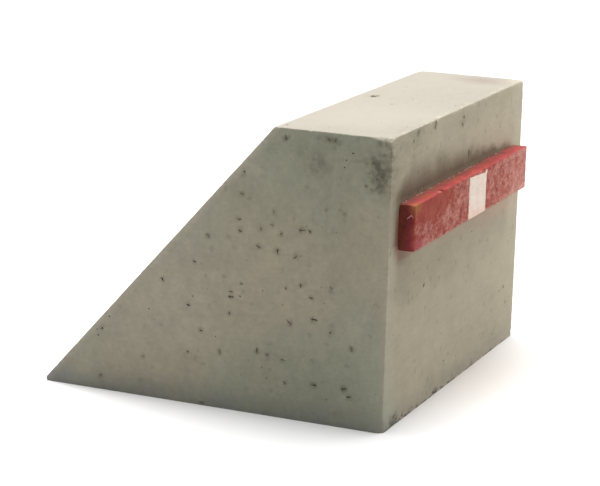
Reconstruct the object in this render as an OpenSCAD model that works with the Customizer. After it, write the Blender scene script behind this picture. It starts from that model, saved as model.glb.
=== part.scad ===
// Railway buffer stop: a cast concrete wedge block with a painted timber beam across its upright face.
//
// Millimetres, at real size. The block stands on Z = 0 with the middle of its base at the origin.
// The track comes in along Y: the upright face and its beam look towards -Y, and the slope runs
// down to the toe towards +Y. X is across the track.

/* [Concrete block] */
// Height of the block above the ground
block_h = 1800; // [1700:10:2400]
// Width of the block across the track
block_w = 2450; // [2400:10:3200]
// Length of the base along the track, from the upright face to the toe
base_l = 2310; // [1600:10:3500]
// Length of the flat top along the track
top_l = 750; // [400:10:1500]
// Height of the blunt nose where the slope ends
toe_h = 24; // [10:1:300]
// Radius of the block's cast arrises
block_arris = 12; // [3:1:40]

/* [Buffers that the beam meets] */
// Top of the rail above the ground
rail_top_h = 195; // [100:5:250]
// Centre line of the buffers above the top of the rail
buffer_h = 1050; // [950:5:1100]
// Distance between the centres of the two buffers
buffer_spacing = 1750; // [1500:10:1950]
// Width of one buffer head
buffer_head_w = 370; // [250:10:450]

/* [Timber beam] */
// Height of the beam's face
beam_h = 285; // [180:5:400]
// Thickness of the beam along the track
beam_t = 105; // [60:5:200]
// Distance of the beam's middle from the middle of the block, towards +X
beam_shift = -20; // [-150:5:150]
// Radius of the beam's planed arrises
beam_arris = 5; // [1:1:20]

/* [White band painted on the beam] */
// Width of the band across the track
band_w = 330; // [100:10:600]
// Distance of the band's middle from the middle of the beam, towards +X
band_shift = 65; // [-400:5:400]

/* [Hidden] */

front_y = -base_l / 2;                     // the upright face, which the beam lies against
beam_z = rail_top_h + buffer_h;            // the beam's centre line is at buffer height
beam_l = buffer_spacing + buffer_head_w;   // reaches half a buffer head past each buffer's centre
toe_arris = min(block_arris, toe_h / 2);   // two arrises share the nose of the toe
paint_depth = 1;                           // depth to which the band is shown in its own colour
round_fn = 48;                             // sides of a circle in the preview

// Side views, as [Y, Z] points anticlockwise.
block_side = [
    [front_y, 0],
    [front_y + base_l, 0],
    [front_y + base_l, toe_h],
    [front_y + top_l, block_h],
    [front_y, block_h]
];
beam_side = [
    [front_y - beam_t, beam_z - beam_h / 2],
    [front_y, beam_z - beam_h / 2],
    [front_y, beam_z + beam_h / 2],
    [front_y - beam_t, beam_z + beam_h / 2]
];

// Corner i of a closed outline, the direction of the side that leaves it, and the turn made there.
function corner(pts, i) = pts[(i + len(pts)) % len(pts)];
function along(pts, i) = let (side = corner(pts, i + 1) - corner(pts, i)) side / norm(side);
function inward(pts, i) = [-along(pts, i)[1], along(pts, i)[0]];
function turn(pts, i) = acos(along(pts, i - 1) * along(pts, i));

// How far before and after corner i its arc of radius r begins and ends, and where its middle is.
function setback(pts, i, r) = r * tan(turn(pts, i) / 2);
function arc_middle(pts, i, r) =
    corner(pts, i) + along(pts, i) * setback(pts, i, r) + inward(pts, i) * r;

// A convex outline with every corner rounded: the flat sides, and a circle in each corner.
module rounded_outline(pts, r) {
    polygon([
        for (i = [0 : len(pts) - 1])
            each [
                corner(pts, i) - along(pts, i - 1) * setback(pts, i, r),
                corner(pts, i) + along(pts, i) * setback(pts, i, r)
            ]
    ]);
    for (i = [0 : len(pts) - 1])
        translate(arc_middle(pts, i, r))
            circle(r = r, $fn = round_fn);
}

// Stands a side view up in the Y-Z plane and gives it a thickness along X, half on each side.
module across(width) {
    rotate([90, 0, 90])
        linear_extrude(height = width, center = true)
            children();
}

// A slab whose one broad face is side i of the outline, with that face's two long arrises rounded.
// It runs past the outline on every other side.
module arris_slab(pts, i, width, r, reach) {
    slab_section = [[-width / 2, 0], [width / 2, 0], [width / 2, reach], [-width / 2, reach]];
    heading = along(pts, i);
    translate([0, corner(pts, i)[0], corner(pts, i)[1]])
        rotate([atan2(heading[1], heading[0]), 0, 0])
            rotate([90, 0, 0])
                linear_extrude(height = 2 * reach, center = true)
                    rounded_outline(slab_section, r);
}

// A convex side view extruded to a width, with the arrises all the way round it rounded: the
// extrusion rounds those that cross the track, and one slab for each side rounds its two ends.
module rounded_prism(pts, width, r) {
    reach = 2 * max([for (p = pts, q = pts) norm(p - q)]);
    intersection() {
        across(width)
            rounded_outline(pts, r);
        intersection_for (i = [0 : len(pts) - 1])
            arris_slab(pts, i, width, r, reach);
    }
}

// The stretch of the beam's face that the white band covers.
module band_space() {
    translate([beam_shift + band_shift - band_w / 2, front_y - beam_t - paint_depth, beam_z - beam_h])
        cube([band_w, 2 * paint_depth, 2 * beam_h]);
}

module timber() {
    translate([beam_shift, 0, 0])
        rounded_prism(beam_side, beam_l, beam_arris);
}

// The block is one casting.
module concrete_block() {
    color("#B9B4A3")
        rounded_prism(block_side, block_w, toe_arris);
}

// The beam is one timber. The band is only paint, so both colours share its one solid.
module buffer_beam() {
    color("#9E4A43")
        difference() {
            timber();
            band_space();
        }
    color("#EBD9CB")
        intersection() {
            timber();
            band_space();
        }
}

concrete_block();
buffer_beam();
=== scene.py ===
# %% [markdown]
# # A concrete buffer stop with a painted timber beam
# At the end of a siding a vehicle is stopped by a wedge of cast concrete. A timber beam lies across
# its upright face, and the two buffers of the vehicle land on that beam. This lesson gives both
# pieces the surface that the real ones have: cast concrete with blowholes and worn arrises, and
# timber under old brush paint. The construction was made first, in CAD, and it is loaded as a fixed
# frame: every size and place below comes from it.

# %% Load the construction as a fixed frame
from collections import namedtuple
import math
import random

import bmesh
import bpy
from mathutils import Matrix, Vector, kdtree, noise


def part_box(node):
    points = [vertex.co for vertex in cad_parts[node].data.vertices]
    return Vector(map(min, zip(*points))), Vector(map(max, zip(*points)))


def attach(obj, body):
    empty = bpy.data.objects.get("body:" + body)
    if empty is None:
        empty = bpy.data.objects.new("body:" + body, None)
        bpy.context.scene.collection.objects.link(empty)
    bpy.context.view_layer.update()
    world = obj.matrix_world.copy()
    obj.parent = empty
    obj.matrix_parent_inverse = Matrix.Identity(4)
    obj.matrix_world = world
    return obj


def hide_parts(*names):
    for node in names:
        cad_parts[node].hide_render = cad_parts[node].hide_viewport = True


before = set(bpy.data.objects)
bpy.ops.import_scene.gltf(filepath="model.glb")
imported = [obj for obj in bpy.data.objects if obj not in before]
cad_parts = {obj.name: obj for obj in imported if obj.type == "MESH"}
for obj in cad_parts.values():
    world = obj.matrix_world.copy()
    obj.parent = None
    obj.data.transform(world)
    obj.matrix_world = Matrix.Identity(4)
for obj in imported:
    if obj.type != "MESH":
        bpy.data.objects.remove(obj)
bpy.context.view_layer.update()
block_low, block_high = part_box("concrete_block")
beam_low, beam_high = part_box("buffer_beam")


def rounded(numbers, digits=3):
    """Numbers short enough to print."""
    return [round(number, digits) for number in numbers]


def put_in_scene(name, data):
    """An object for a mesh, a lamp or a camera, linked to the scene."""
    made = bpy.data.objects.new(name, data)
    bpy.context.scene.collection.objects.link(made)
    return made


print("block", rounded(block_high - block_low))
print("beam", rounded(beam_high - beam_low))

# %% [markdown]
# ## Camera
# A long lens from some way off keeps the block's edges nearly parallel, as in a catalogue picture.
# The camera circles a target in the middle of the block: an azimuth round it, an elevation above
# the floor, and a small roll, because a camera held by hand is never quite level.

# %% Camera
CAMERA_TARGET = Vector((-0.003, -0.061, 0.789))
CAMERA_DISTANCE = 14.47
CAMERA_AZIMUTH = math.radians(-66.71)
CAMERA_ELEVATION = math.radians(13.606)
CAMERA_ROLL = math.radians(1.519)
CAMERA_LENS = 131.67

towards_camera = Vector((
    math.sin(CAMERA_AZIMUTH) * math.cos(CAMERA_ELEVATION),
    -math.cos(CAMERA_AZIMUTH) * math.cos(CAMERA_ELEVATION),
    math.sin(CAMERA_ELEVATION),
))
camera = put_in_scene("camera", bpy.data.cameras.new("camera"))
camera.data.lens = CAMERA_LENS
camera.data.sensor_width = 36.0
camera.data.clip_end = 200.0
camera.matrix_world = (
    Matrix.Translation(CAMERA_TARGET + towards_camera * CAMERA_DISTANCE)
    @ towards_camera.to_track_quat("Z", "Y").to_matrix().to_4x4()
    @ Matrix.Rotation(CAMERA_ROLL, 4, "Z")
)
bpy.context.scene.camera = camera
print("camera at", rounded(camera.matrix_world.translation, 2))

# %% [markdown]
# ## The cast block: a blank with a cutting plan
# Formwork gives flat faces that meet in sharp arrises, and use then knocks the arrises round. A
# blank drawn as a five-sided profile and pulled across to its width has the right flat faces. It
# needs more vertices only where the arrises will wear, so planes cut rows that crowd towards each
# arris and stay wide apart in the middle of a face. A plain cut by a plane leaves the shape as it
# is, so the flat faces stay exactly flat.

# %% Pull a flat profile across to its width
TOP_LENGTH = 0.75
TOE_HEIGHT = 0.024


def pulled_profile(outline, low_x, high_x):
    """A closed solid between two copies of an outline of (y, z) points, at low_x and high_x.

    It is made corner by corner, since an extrude gives its sides in an order that varies.
    """
    work = bmesh.new()
    low, high = [[work.verts.new((x, y, z)) for y, z in outline] for x in (low_x, high_x)]
    work.faces.new(low)
    work.faces.new(high)
    for here in range(len(outline)):
        work.faces.new((low[here - 1], low[here], high[here], high[here - 1]))
    bmesh.ops.recalc_face_normals(work, faces=work.faces)
    return work


slope_top_y = block_low.y + TOP_LENGTH
block = pulled_profile(
    [
        (block_low.y, block_low.z),
        (block_low.y, block_high.z),
        (slope_top_y, block_high.z),
        (block_high.y, block_low.z + TOE_HEIGHT),
        (block_high.y, block_low.z),
    ],
    block_low.x,
    block_high.x,
)
print("block blank", len(block.faces), "faces, volume", round(block.calc_volume(), 4))

# %% The planes of a flat-sided solid
def flat_sides(work):
    """(a point, the outward normal) for each flat side of a bmesh, always in the same order."""
    sides = [(f.calc_center_median().copy(), f.normal.copy()) for f in work.faces]
    return sorted(sides, key=lambda side: [round(v, 3) for v in side[1]])


def depths_inside(point, sides):
    """How far a point is behind each flat side, in metres."""
    return [(middle - point).dot(outward) for middle, outward in sides]


block_sides = flat_sides(block)
print("block sides", [rounded(outward, 2) for _, outward in block_sides])

# %% Cut rows that crowd towards the arrises
def cut_through(work, point, direction):
    """One plane cut through the whole mesh, which changes nothing but the number of faces."""
    everything = work.verts[:] + work.edges[:] + work.faces[:]
    bmesh.ops.bisect_plane(
        work, geom=everything, dist=1e-4, plane_co=point, plane_no=direction
    )


def cut_evenly(work, start, end, wanted):
    """Cuts at about the wanted spacing between two points, square to the line between them."""
    start, end = Vector(start), Vector(end)
    count = max(1, round((end - start).length / wanted))
    for step in range(1, count):
        cut_through(work, start.lerp(end, step / count), end - start)


def cut_beside_sides(work, sides, rows):
    """Rows of cuts close behind every flat side, for the arrises to wear along."""
    for middle, outward in sides:
        for row in rows:
            cut_through(work, middle - outward * row, outward)


BLOCK_CELL = 0.06
SLOPE_STEPS = 26
ARRIS_ROWS = (0.002, 0.005, 0.009, 0.016, 0.03)

cut_evenly(block, (block_low.x, 0, 0), (block_high.x, 0, 0), BLOCK_CELL)
cut_evenly(block, (0, block_low.y, 0), (0, slope_top_y, 0), BLOCK_CELL)
for step in range(1, SLOPE_STEPS):
    share = step / SLOPE_STEPS
    y = slope_top_y + (block_high.y - slope_top_y) * share
    z = block_high.z + (block_low.z + TOE_HEIGHT - block_high.z) * share
    cut_through(block, (0, y, z), (0, 1, 0))
    cut_through(block, (0, y, z), (0, 0, 1))
cut_through(block, (0, slope_top_y, 0), (0, 1, 0))
cut_beside_sides(block, block_sides, ARRIS_ROWS)
print("block after the cuts", len(block.faces), "faces")

# %% Shorten the cells that run along an arris
def near_arris(point, sides, reach):
    """True where a surface point is within reach of a second flat side."""
    return sorted(depths_inside(point, sides))[1] < reach


def shorten_along_arrises(work, sides, reach, longest):
    """Edges close to an arris are split until none is longer than about `longest`."""
    long_edges = {}
    for edge in work.edges:
        if all(near_arris(v.co, sides, reach) for v in edge.verts):
            parts = math.ceil(edge.calc_length() / longest)
            if parts > 1:
                long_edges.setdefault(parts, []).append(edge)
    for parts, edges in sorted(long_edges.items()):
        bmesh.ops.subdivide_edges(work, edges=edges, cuts=parts - 1, use_grid_fill=True)


WORN_REACH = 0.036
LONGEST_WORN_CELL = 0.012
shorten_along_arrises(block, block_sides, WORN_REACH, LONGEST_WORN_CELL)
print("block with short cells", len(block.faces), "faces")

# %% [markdown]
# ## Worn arrises
# An arris wears round: a little nearly everywhere, more at the corners that are knocked, and in
# short nicks where a grain of stone came away. If R is the rounding at a place, the worn surface
# is where the distances behind the flat sides, each taken from R, add up in quadrature to R. That
# one rule rounds an edge like a roller and a corner like a ball. Each vertex near an arris moves
# inwards until it meets the rule, and R comes from smooth noise, so it changes along the arris.

# %% How far an arris is rounded at each place
Wear = namedtuple("Wear", "even wavy wave nick nick_depth least")


def knocked(point, knocks):
    """The extra rounding that knocks at named corners give, in metres."""
    extra = 0.0
    for corner, reach, depth in knocks:
        closeness = max(0.0, 1.0 - (point - Vector(corner)).length / reach)
        extra = max(extra, depth * closeness * closeness * (3.0 - 2.0 * closeness))
    return extra


def arris_rounding(point, wear, knocks):
    """The rounding R at a point, in metres: even wear, slow waves, short nicks and knocks."""
    waves = noise.noise(point / wear.wave) + 0.5 * noise.noise(point / wear.wave * 2.3)
    nick = max(0.0, noise.noise(point / wear.nick + Vector((7.0, 3.0, 5.0))) - 0.22)
    return (
        wear.even
        + wear.wavy * waves
        + wear.nick_depth * nick
        + knocked(point, knocks)
    )


# %% Move the vertices onto the worn surface
WEAR_STEPS = 4
CLOSE_ENOUGH = 1e-6


def worn_step(point, sides, rounding):
    """The move from a point towards the worn surface, or None where it is already there."""
    pull = Vector((0.0, 0.0, 0.0))
    for depth, (_, outward) in zip(depths_inside(point, sides), sides):
        pull += outward * max(0.0, rounding - depth)
    squares = sum(max(0.0, rounding - d) ** 2 for d in depths_inside(point, sides))
    beyond = math.sqrt(squares) - rounding
    if beyond < CLOSE_ENOUGH or pull.length < 1e-9:
        return None
    slope = pull / math.sqrt(squares)
    return -slope * beyond / max(0.3, slope.length_squared)


def wear_arrises(work, sides, wear, knocks=()):
    """Rounds every arris and corner of a mesh that lies on flat sides. Says how many moved."""
    moved = 0
    for vert in work.verts:
        rounding = max(wear.least, arris_rounding(vert.co, wear, knocks))
        place = vert.co.copy()
        for _ in range(WEAR_STEPS):
            step = worn_step(place, sides, rounding)
            if step is None:
                break
            place += step
        moved += place != vert.co
        vert.co = place
    return moved


near_x, far_x = block_low.x, block_high.x
front_y, toe_y = block_low.y, block_high.y
foot_z, top_z = block_low.z, block_high.z
BLOCK_WEAR = Wear(even=0.0065, wavy=0.003, wave=0.1, nick=0.026, nick_depth=0.022, least=0.003)
BLOCK_KNOCKS = [
    ((near_x, front_y + 0.05, top_z), 0.11, 0.026),
    ((near_x, front_y, top_z), 0.06, 0.024),
    ((near_x, front_y, foot_z), 0.15, 0.046),
    ((far_x, front_y, top_z), 0.1, 0.012),
    ((far_x, front_y, foot_z), 0.05, 0.008),
    ((far_x, toe_y, foot_z), 0.15, 0.024),
    ((far_x, slope_top_y, top_z), 0.1, 0.014),
]
FOOT_WEAR = Wear(even=0.0032, wavy=0.0014, wave=0.05, nick=0.018, nick_depth=0.016, least=0.0015)
off_the_base = [side for side in block_sides if side[1].z > -0.9]
print("vertices worn above the foot:", wear_arrises(block, off_the_base, BLOCK_WEAR, BLOCK_KNOCKS))
under_the_toe = [side for side in block_sides if side[1].z < -0.9 or side[1].y > 0.9]
TOE_KNOCKS = [((near_x, toe_y, foot_z), 0.3, 0.02)]
print("vertices worn under the toe:", wear_arrises(block, under_the_toe, FOOT_WEAR, TOE_KNOCKS))
print("vertices worn along the foot:", wear_arrises(block, block_sides, FOOT_WEAR))

# %% [markdown]
# ## Blowholes
# Air trapped against the formwork leaves blowholes: small pockets, often drawn out to a slit, with
# a sharp mouth and a dark inside. A bump in the material can't make the sharp mouth, so each is
# cut out. A ball is stretched, bent a little and roughened, and a Boolean takes all of them out of
# the block at once. The balls carry the block's second material, so the inside of each hole gets a
# finish of its own.

# %% Where each face of the block lies
ALONG_X, ALONG_Y, ALONG_Z = Vector((1, 0, 0)), Vector((0, 1, 0)), Vector((0, 0, 1))
slope_down = Vector((0.0, toe_y - slope_top_y, foot_z + TOE_HEIGHT - top_z)).normalized()
slope_top = Vector((0, slope_top_y, top_z))
FACE_FRAMES = {
    "near_side": (Vector((near_x, 0, 0)), ALONG_Y, ALONG_Z, -ALONG_X),
    "far_side": (Vector((far_x, 0, 0)), ALONG_Y, ALONG_Z, ALONG_X),
    "front": (Vector((0, front_y, 0)), ALONG_X, ALONG_Z, -ALONG_Y),
    "top": (Vector((0, 0, top_z)), ALONG_X, ALONG_Y, ALONG_Z),
    "slope": (slope_top, ALONG_X, slope_down, ALONG_X.cross(slope_down)),
}


def place_on(face, across, up):
    """The point of a face that lies so many metres across and up it."""
    origin, along_across, along_up, _ = FACE_FRAMES[face]
    return origin + along_across * across + along_up * up


print("slope faces", rounded(FACE_FRAMES["slope"][3]))

# %% One stretched, roughened ball for each blowhole
def blowhole_ball(work, face, across, up, length, width, turn, bend=0.0, detail=2):
    """Adds one cutter to a bmesh, in metres and degrees; a little over half of it is sunk in."""
    _, along_across, along_up, outward = FACE_FRAMES[face]
    ball = bmesh.ops.create_icosphere(work, subdivisions=detail, radius=1.0)["verts"]
    spin = math.radians(turn)
    along = along_across * math.cos(spin) + along_up * math.sin(spin)
    beside = outward.cross(along)
    middle = place_on(face, across, up)
    depth = (0.002 + 0.45 * width) * (1.0 + 0.9 * noise.noise(middle * 23.0))
    taper = noise.noise(middle * 17.0)
    for vert in ball:
        swell = noise.noise(vert.co * 1.3 + middle * 31.0)
        rough = 1.0 + 1.0 * swell + 0.55 * noise.noise(vert.co * 2.9 + middle * 53.0)
        x, y, z = vert.co * max(0.4, rough)
        y = y * (1.0 + 1.5 * taper * x) + bend * (x * x - 0.4)
        vert.co = (
            middle
            + along * (x * length / 2)
            + beside * (y * width / 2)
            + outward * (z * depth - 0.15 * depth)
        )


# %% The blowholes that show most, from (across m, up m, length mm, width mm, turn, any bend)
NEAR_SIDE_HOLES = (
    (-0.6, 1.19, 44, 7, -2), (-0.65, 1.19, 26, 14, 35), (-0.44, 1.04, 40, 10, 88, 0.1),
    (-0.33, 1.17, 28, 9, 80), (-0.14, 0.72, 33, 10, 2, 0.1), (-0.14, 0.753, 30, 8, -3),
    (-0.13, 0.615, 25, 8, 85), (-0.53, 0.61, 40, 10, 42, 0.1), (-0.69, 0.65, 46, 10, 4, -0.4),
    (-0.67, 0.78, 30, 9, 10), (-0.6, 0.85, 21, 9, 70), (0.33, 0.77, 28, 9, 50), (0.11, 0.91, 21, 10, 20),
    (-0.19, 1.14, 25, 9, 25), (-0.32, 0.4, 39, 9, 86), (-0.07, 0.36, 37, 9, 86),
    (-0.9, 0.245, 42, 8, -10, 0.3), (-0.93, 0.2, 34, 8, -4), (-0.7, 0.24, 42, 8, 2, 0.1),
    (-0.51, 0.225, 28, 13, 45), (-0.39, 0.24, 16, 9, 80), (-0.75, 1.33, 28, 8, 85),
    (-0.87, 1.32, 26, 8, 50), (-0.5, 0.82, 19, 7, 80), (-0.2, 1.37, 30, 7, 15),
    (-0.18, 1.21, 25, 8, 10, 0.2), (-0.41, 1.28, 23, 7, 70), (-0.4, 1.2, 23, 7, 30),
    (-0.46, 1.15, 30, 6, -40), (-0.315, 1.055, 33, 9, 28), (-0.56, 1.02, 30, 8, -35),
    (-0.594, 1.032, 12, 10, 0), (-0.91, 1.69, 14, 9, 0), (-0.48, 1.74, 32, 12, 75, 0.3),
    (-0.755, 1.755, 26, 7, 40), (-0.8, 1.757, 30, 7, -40), (-0.8, 0.86, 21, 7, 20),
    (-0.8, 0.585, 18, 9, 60), (0.02, 1.08, 39, 7, 55, 0.3), (-0.49, 0.37, 30, 7, 5),
    (-0.39, 0.385, 25, 8, 0), (-0.94, 0.5, 32, 7, 80), (0.75, 0.4, 18, 10, 30), (0.42, 0.57, 16, 8, 0),
    (0.06, 0.48, 26, 6, 8), (0.15, 0.33, 18, 10, 90), (0.46, 0.255, 21, 8, 0), (0.76, 0.09, 19, 12, 20),
    (-0.2, 0.73, 14, 9, 0), (-0.35, 0.785, 14, 7, 60), (0.15, 0.63, 23, 9, 10), (0.05, 0.016, 35, 12, 0),
)
FRONT_HOLES = (
    (-0.5, 1.765, 50, 18, 65, 0.2), (-0.87, 1.73, 22, 11, 80), (0.0, 1.69, 23, 16, 70),
    (0.02, 1.735, 22, 14, 20), (0.14, 1.48, 50, 16, 75, 0.2), (-0.7, 1.405, 36, 14, 75),
    (-0.6, 0.78, 22, 11, 20), (1.0, 0.4, 22, 10, 20), (1.05, 0.28, 20, 9, 0), (-1.1, 0.04, 31, 18, 60),
    (-1.05, 0.055, 23, 14, 20), (-1.0, 0.03, 22, 13, 0), (-0.9, 0.025, 27, 13, 0),
    (-0.35, 0.02, 32, 13, 0),
)
TOP_HOLES = ((0.08, -0.52, 84, 34, 4, 0.2),)

LONG_HOLE = 0.03

hole_balls = bmesh.new()
hook_balls = bmesh.new()
hook_luck = random.Random(12)
hole_places = []


def cut_holes(face, holes):
    """Adds the named holes of one face, and says how many there are.

    A long hole gets a small pocket at one end, which is cut in a second round, because the
    balls of one round must not touch each other.
    """
    for across, up, length, width, turn, *bend in holes:
        length, width = length / 1000, width / 1000
        blowhole_ball(hole_balls, face, across, up, length, width, turn, *bend, detail=3)
        hole_places.append((place_on(face, across, up), length / 2))
        if length > LONG_HOLE:
            end = hook_luck.choice((-0.3, 0.3)) * length
            spin = math.radians(turn)
            blowhole_ball(
                hook_balls,
                face,
                across + math.cos(spin) * end,
                up + math.sin(spin) * end,
                length * hook_luck.uniform(0.4, 0.65),
                width * hook_luck.uniform(0.7, 1.0),
                turn + hook_luck.uniform(35, 145),
            )
    return len(holes)


print("near side", cut_holes("near_side", NEAR_SIDE_HOLES), "holes")
print("front", cut_holes("front", FRONT_HOLES), "top", cut_holes("top", TOP_HOLES))

# %% Small blowholes scattered over every face
ROOM_AT_ARRIS = 0.015
ROOM_AT_BEAM = 0.03
ROOM_BETWEEN_HOLES = 0.006
SMALLEST_HOLE = 0.008
COARSE_BALL_UP_TO = 0.02
SIDE_ROOM = (front_y, toe_y, foot_z, top_z)
# For each face: how many holes, the longest of them, and the room across and up the face.
SCATTERED = {
    "near_side": (44, 0.018, SIDE_ROOM),
    "far_side": (120, 0.04, SIDE_ROOM),
    "front": (40, 0.018, (near_x, far_x, foot_z, top_z)),
    "top": (40, 0.018, (near_x, far_x, front_y, slope_top_y)),
    "slope": (150, 0.04, (near_x, far_x, 0.0, (toe_y - slope_top_y) / slope_down.y)),
}
hole_luck = random.Random(41)


def has_room(place, half_length, face):
    """True where a hole clears the arrises, the beam and the holes already placed."""
    nearest_side, next_side = sorted(depths_inside(place, block_sides))[:2]
    if next_side < ROOM_AT_ARRIS + half_length or nearest_side < -1e-4:
        return False
    if face == "front" and beam_low.z - ROOM_AT_BEAM < place.z < beam_high.z + ROOM_AT_BEAM:
        return False
    gaps = [(place - other).length - taken for other, taken in hole_places]
    return all(gap > half_length + ROOM_BETWEEN_HOLES for gap in gaps)


for face, (wanted, largest, room) in SCATTERED.items():
    made = 0
    while made < wanted:
        across = hole_luck.uniform(*room[:2])
        up = hole_luck.uniform(*room[2:])
        length = SMALLEST_HOLE + (largest - SMALLEST_HOLE) * hole_luck.random() ** 2.2
        width = length * hole_luck.uniform(0.35, 0.9)
        turn = hole_luck.uniform(-90, 90)
        bend = hole_luck.uniform(-0.4, 0.4)
        place = place_on(face, across, up)
        if not has_room(place, length / 2, face):
            continue
        detail = 2 if length > COARSE_BALL_UP_TO else 1
        blowhole_ball(hole_balls, face, across, up, length, width, turn, bend, detail)
        hole_places.append((place, length / 2))
        made += 1
print("blowholes in all:", len(hole_places), "cutter faces:", len(hole_balls.faces))

# %% Finer cells round the holes that show most
HALO_REACH = 0.013
LEAST_SHOWN_HALF = 0.0085
SHOWN_HOLES = [(place, half) for place, half in hole_places if half > LEAST_SHOWN_HALF]
hole_finder = kdtree.KDTree(len(SHOWN_HOLES))
for number, (place, half) in enumerate(SHOWN_HOLES):
    hole_finder.insert(place, number)
hole_finder.balance()


def halo(place):
    """1 at the mouth of a hole that shows, 0 a little way outside it, and below 0 from there."""
    most = -10.0
    for _, number, gap in hole_finder.find_n(place, 3):
        half = SHOWN_HOLES[number][1]
        most = max(most, 1.0 - (gap - 0.5 * half) / (HALO_REACH + 0.5 * half))
    return most


def split_near_holes(work, longest, least_halo, cuts):
    """Cuts the long edges round the holes that show; the lower the halo, the wider the ring."""
    long_edges = []
    for edge in work.edges:
        middle = (edge.verts[0].co + edge.verts[1].co) / 2
        if edge.calc_length() > longest and halo(middle) > least_halo:
            long_edges.append(edge)
    bmesh.ops.subdivide_edges(work, edges=long_edges, cuts=cuts, use_grid_fill=True)


split_near_holes(block, longest=0.035, least_halo=-1.4, cuts=1)
split_near_holes(block, longest=0.018, least_halo=-0.7, cuts=2)
print("holes that show:", len(SHOWN_HOLES), "block faces now:", len(block.faces))

# %% Cut the blowholes out of the block
def mesh_object(work, name):
    """Turns a bmesh into an object at the origin, which is unturned and unscaled."""
    mesh = bpy.data.meshes.new(name)
    work.to_mesh(mesh)
    work.free()
    return put_in_scene(name, mesh)


def finished_piece(work, name, sharp_degrees):
    """The object of a finished mesh: smooth, but sharp where faces meet at more than an angle."""
    bmesh.ops.triangulate(work, faces=work.faces)
    piece = mesh_object(work, name)
    piece.data.shade_smooth()
    piece.data.set_sharp_from_angle(angle=math.radians(sharp_degrees))
    print(name, len(piece.data.polygons), "triangles")
    return piece


INSIDE_A_HOLE = 1


def cut_out(solid_work, ball_work):
    """A new bmesh: the solid with the balls taken out, their faces marked as inside a hole."""
    for face in ball_work.faces:
        face.material_index = INSIDE_A_HOLE
    solid = mesh_object(solid_work, "solid")
    balls = mesh_object(ball_work, "balls")
    boolean = solid.modifiers.new("blowholes", "BOOLEAN")
    boolean.operation = "DIFFERENCE"
    boolean.solver = "MANIFOLD"
    boolean.object = balls
    bpy.context.view_layer.update()
    shown = solid.evaluated_get(bpy.context.evaluated_depsgraph_get())
    work = bmesh.new()
    work.from_mesh(bpy.data.meshes.new_from_object(shown))
    bpy.data.objects.remove(solid)
    bpy.data.objects.remove(balls)
    return work


def drop_crumbs(work):
    """Deletes every loose bit that two overlapping cuts left inside a hole. Says how many."""
    islands = []
    met = set()
    for start in work.verts:
        if start in met:
            continue
        met.add(start)
        island = [start]
        for vert in island:
            for edge in vert.link_edges:
                other = edge.other_vert(vert)
                if other not in met:
                    met.add(other)
                    island.append(other)
        islands.append(island)
    islands.sort(key=len)
    crumbs = [vert for island in islands[:-1] for vert in island]
    bmesh.ops.delete(work, geom=crumbs, context="VERTS")
    return len(islands) - 1


block = cut_out(cut_out(block, hole_balls), hook_balls)
print("crumbs dropped:", drop_crumbs(block))
print("block after the Boolean:", len(block.faces), "faces, closed:",
      all(edge.is_manifold for edge in block.edges))

# %% Note on each vertex how near it is to an arris
def note_on_vertices(work, name, measure):
    """Writes a number from measure(place) on each vertex, for a finish to read by its name."""
    layer = work.verts.layers.float.new(name)
    for vert in work.verts:
        vert[layer] = measure(vert.co)


RUBBED_REACH = 0.04


def arris_closeness(place):
    """1 on an arris and 0 from the reach of the rubbing."""
    return max(0.0, 1.0 - sorted(depths_inside(place, block_sides))[1] / RUBBED_REACH)


note_on_vertices(block, "arris", arris_closeness)
note_on_vertices(block, "halo", lambda place: max(0.0, min(1.0, halo(place))))
block_piece = finished_piece(block, "cast_block", sharp_degrees=32)

# %% [markdown]
# ## Tools for the finishes
# A procedural finish is a small recipe: clouds of noise at a few sizes, faded into masks, that mix
# one colour into the next. The same few nodes come back all the time, so one class holds a
# material and gives each of them a short name. Everything reads Object coordinates, which are
# metres in the frame, so a stain stays at its place on the piece.

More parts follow.
